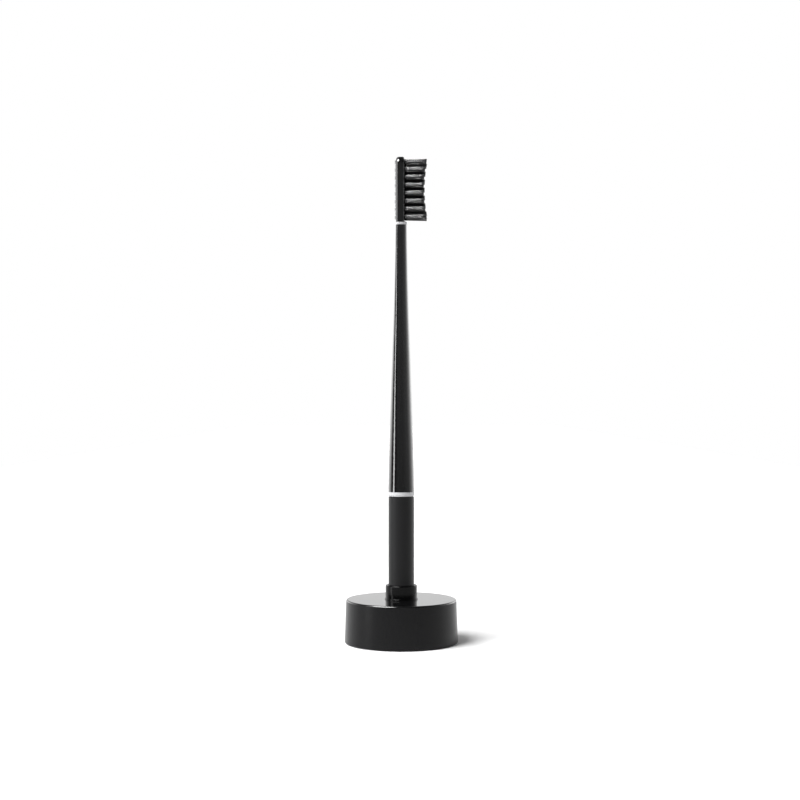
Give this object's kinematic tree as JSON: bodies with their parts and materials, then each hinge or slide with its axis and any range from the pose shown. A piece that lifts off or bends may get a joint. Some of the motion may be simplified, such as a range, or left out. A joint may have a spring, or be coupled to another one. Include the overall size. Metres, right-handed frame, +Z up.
{
  "type": "electric toothbrush on charger",
  "caption": "Slim upright electric toothbrush with a pull-off bristle head, standing in the collar of a low round inductive charging base.",
  "frame": {"origin": "centre of the charging base's underside, on the surface it stands on", "axes": "+Z up along the brush; +X the way the bristles and the power button face; +Y towards the power inlet at the rear"},
  "size_m": [0.0552, 0.0552, 0.237],
  "materials": {
    "satin_shell": "fine-grained satin",
    "plate_black": "matte moulded",
    "gloss_cup": "gloss",
    "foot_rubber": "matte",
    "seal_rubber": "matte",
    "zinc_steel": "satin",
    "coil_copper": "enamelled wire",
    "ferrite": "dull sintered",
    "moulding_natural": "moulded",
    "board_green": "solder mask",
    "component_black": "moulded",
    "component_tan": "ceramic",
    "nickel": "nickel plated",
    "grip_soft": "soft-touch matte",
    "cell_sleeve": "shrink sleeve",
    "trim_silver": "satin anodised",
    "taper_black": "fine-grained semi-gloss",
    "pipe_clear": "clear",
    "led_white": "lens",
    "magnet": "plated",
    "bronze": "sintered",
    "tungsten": "sintered",
    "head_black": "semi-gloss",
    "cleaner_soft": "soft moulded",
    "bristle_black": "nylon filament"
  },
  "bodies": {
    "charger": {"base_shell": "satin_shell", "bottom_plate": "plate_black", "foot_ring": "foot_rubber", "housing_screws": "zinc_steel", "socket_cup": "gloss_cup", "coil_bobbin": "moulding_natural", "primary_coil": "coil_copper", "coil_leads": "coil_copper", "ferrite_sleeve": "ferrite", "ballast_ring": "zinc_steel", "charger_board": "board_green", "charger_chip": "component_black", "charger_inductor": "component_black", "charger_capacitors": "component_tan", "inlet_shell": "nickel", "inlet_tongue": "moulding_natural"},
    "handle": {"grip_sleeve": "grip_soft", "end_cap": "grip_soft", "end_cap_seal": "seal_rubber", "pickup_core": "ferrite", "pickup_coil": "coil_copper", "battery_cell": "cell_sleeve", "battery_tab_negative": "nickel", "battery_tab_positive": "nickel", "trim_ring": "trim_silver", "taper_shell": "taper_black", "light_pipe": "pipe_clear", "chassis": "moulding_natural", "handle_board": "board_green", "controller_chip": "component_black", "button_switch": "component_black", "indicator_led": "led_white", "motor_can": "nickel", "motor_end_bell": "moulding_natural", "motor_magnet": "magnet", "motor_bearings": "bronze", "motor_leads": "nickel", "neck_pin": "zinc_steel", "neck_seal": "seal_rubber"},
    "rotor": {"motor_shaft": "zinc_steel", "rotor_winding": "coil_copper", "commutator": "bronze", "eccentric_weight": "tungsten"},
    "button": {"power_button": "taper_black"},
    "brush_head": {"head_ring": "trim_silver", "head_body": "head_black", "tuft_anchors": "nickel", "outer_tufts": "bristle_black", "inner_tufts": "bristle_black", "head_clip": "zinc_steel", "tongue_cleaner": "cleaner_soft"}
  },
  "joints": [
    {"name": "brush_lift", "type": "slide", "parent": "charger", "child": "handle", "axis": [0, 0, 1], "range_m": [0, 0.02]},
    {"name": "head_pull", "type": "slide", "parent": "handle", "child": "brush_head", "axis": [0, 0, 1], "range_m": [0, 0.013]},
    {"name": "motor_spin", "type": "hinge", "parent": "handle", "child": "rotor", "pos_m": [0, 0, 0.125], "axis": [0, 0, 1], "continuous": true},
    {"name": "button_press", "type": "slide", "parent": "handle", "child": "button", "axis": [-1, 0, 0], "range_m": [0, 0.0005], "stiffness_N_per_m": 300}
  ]
}
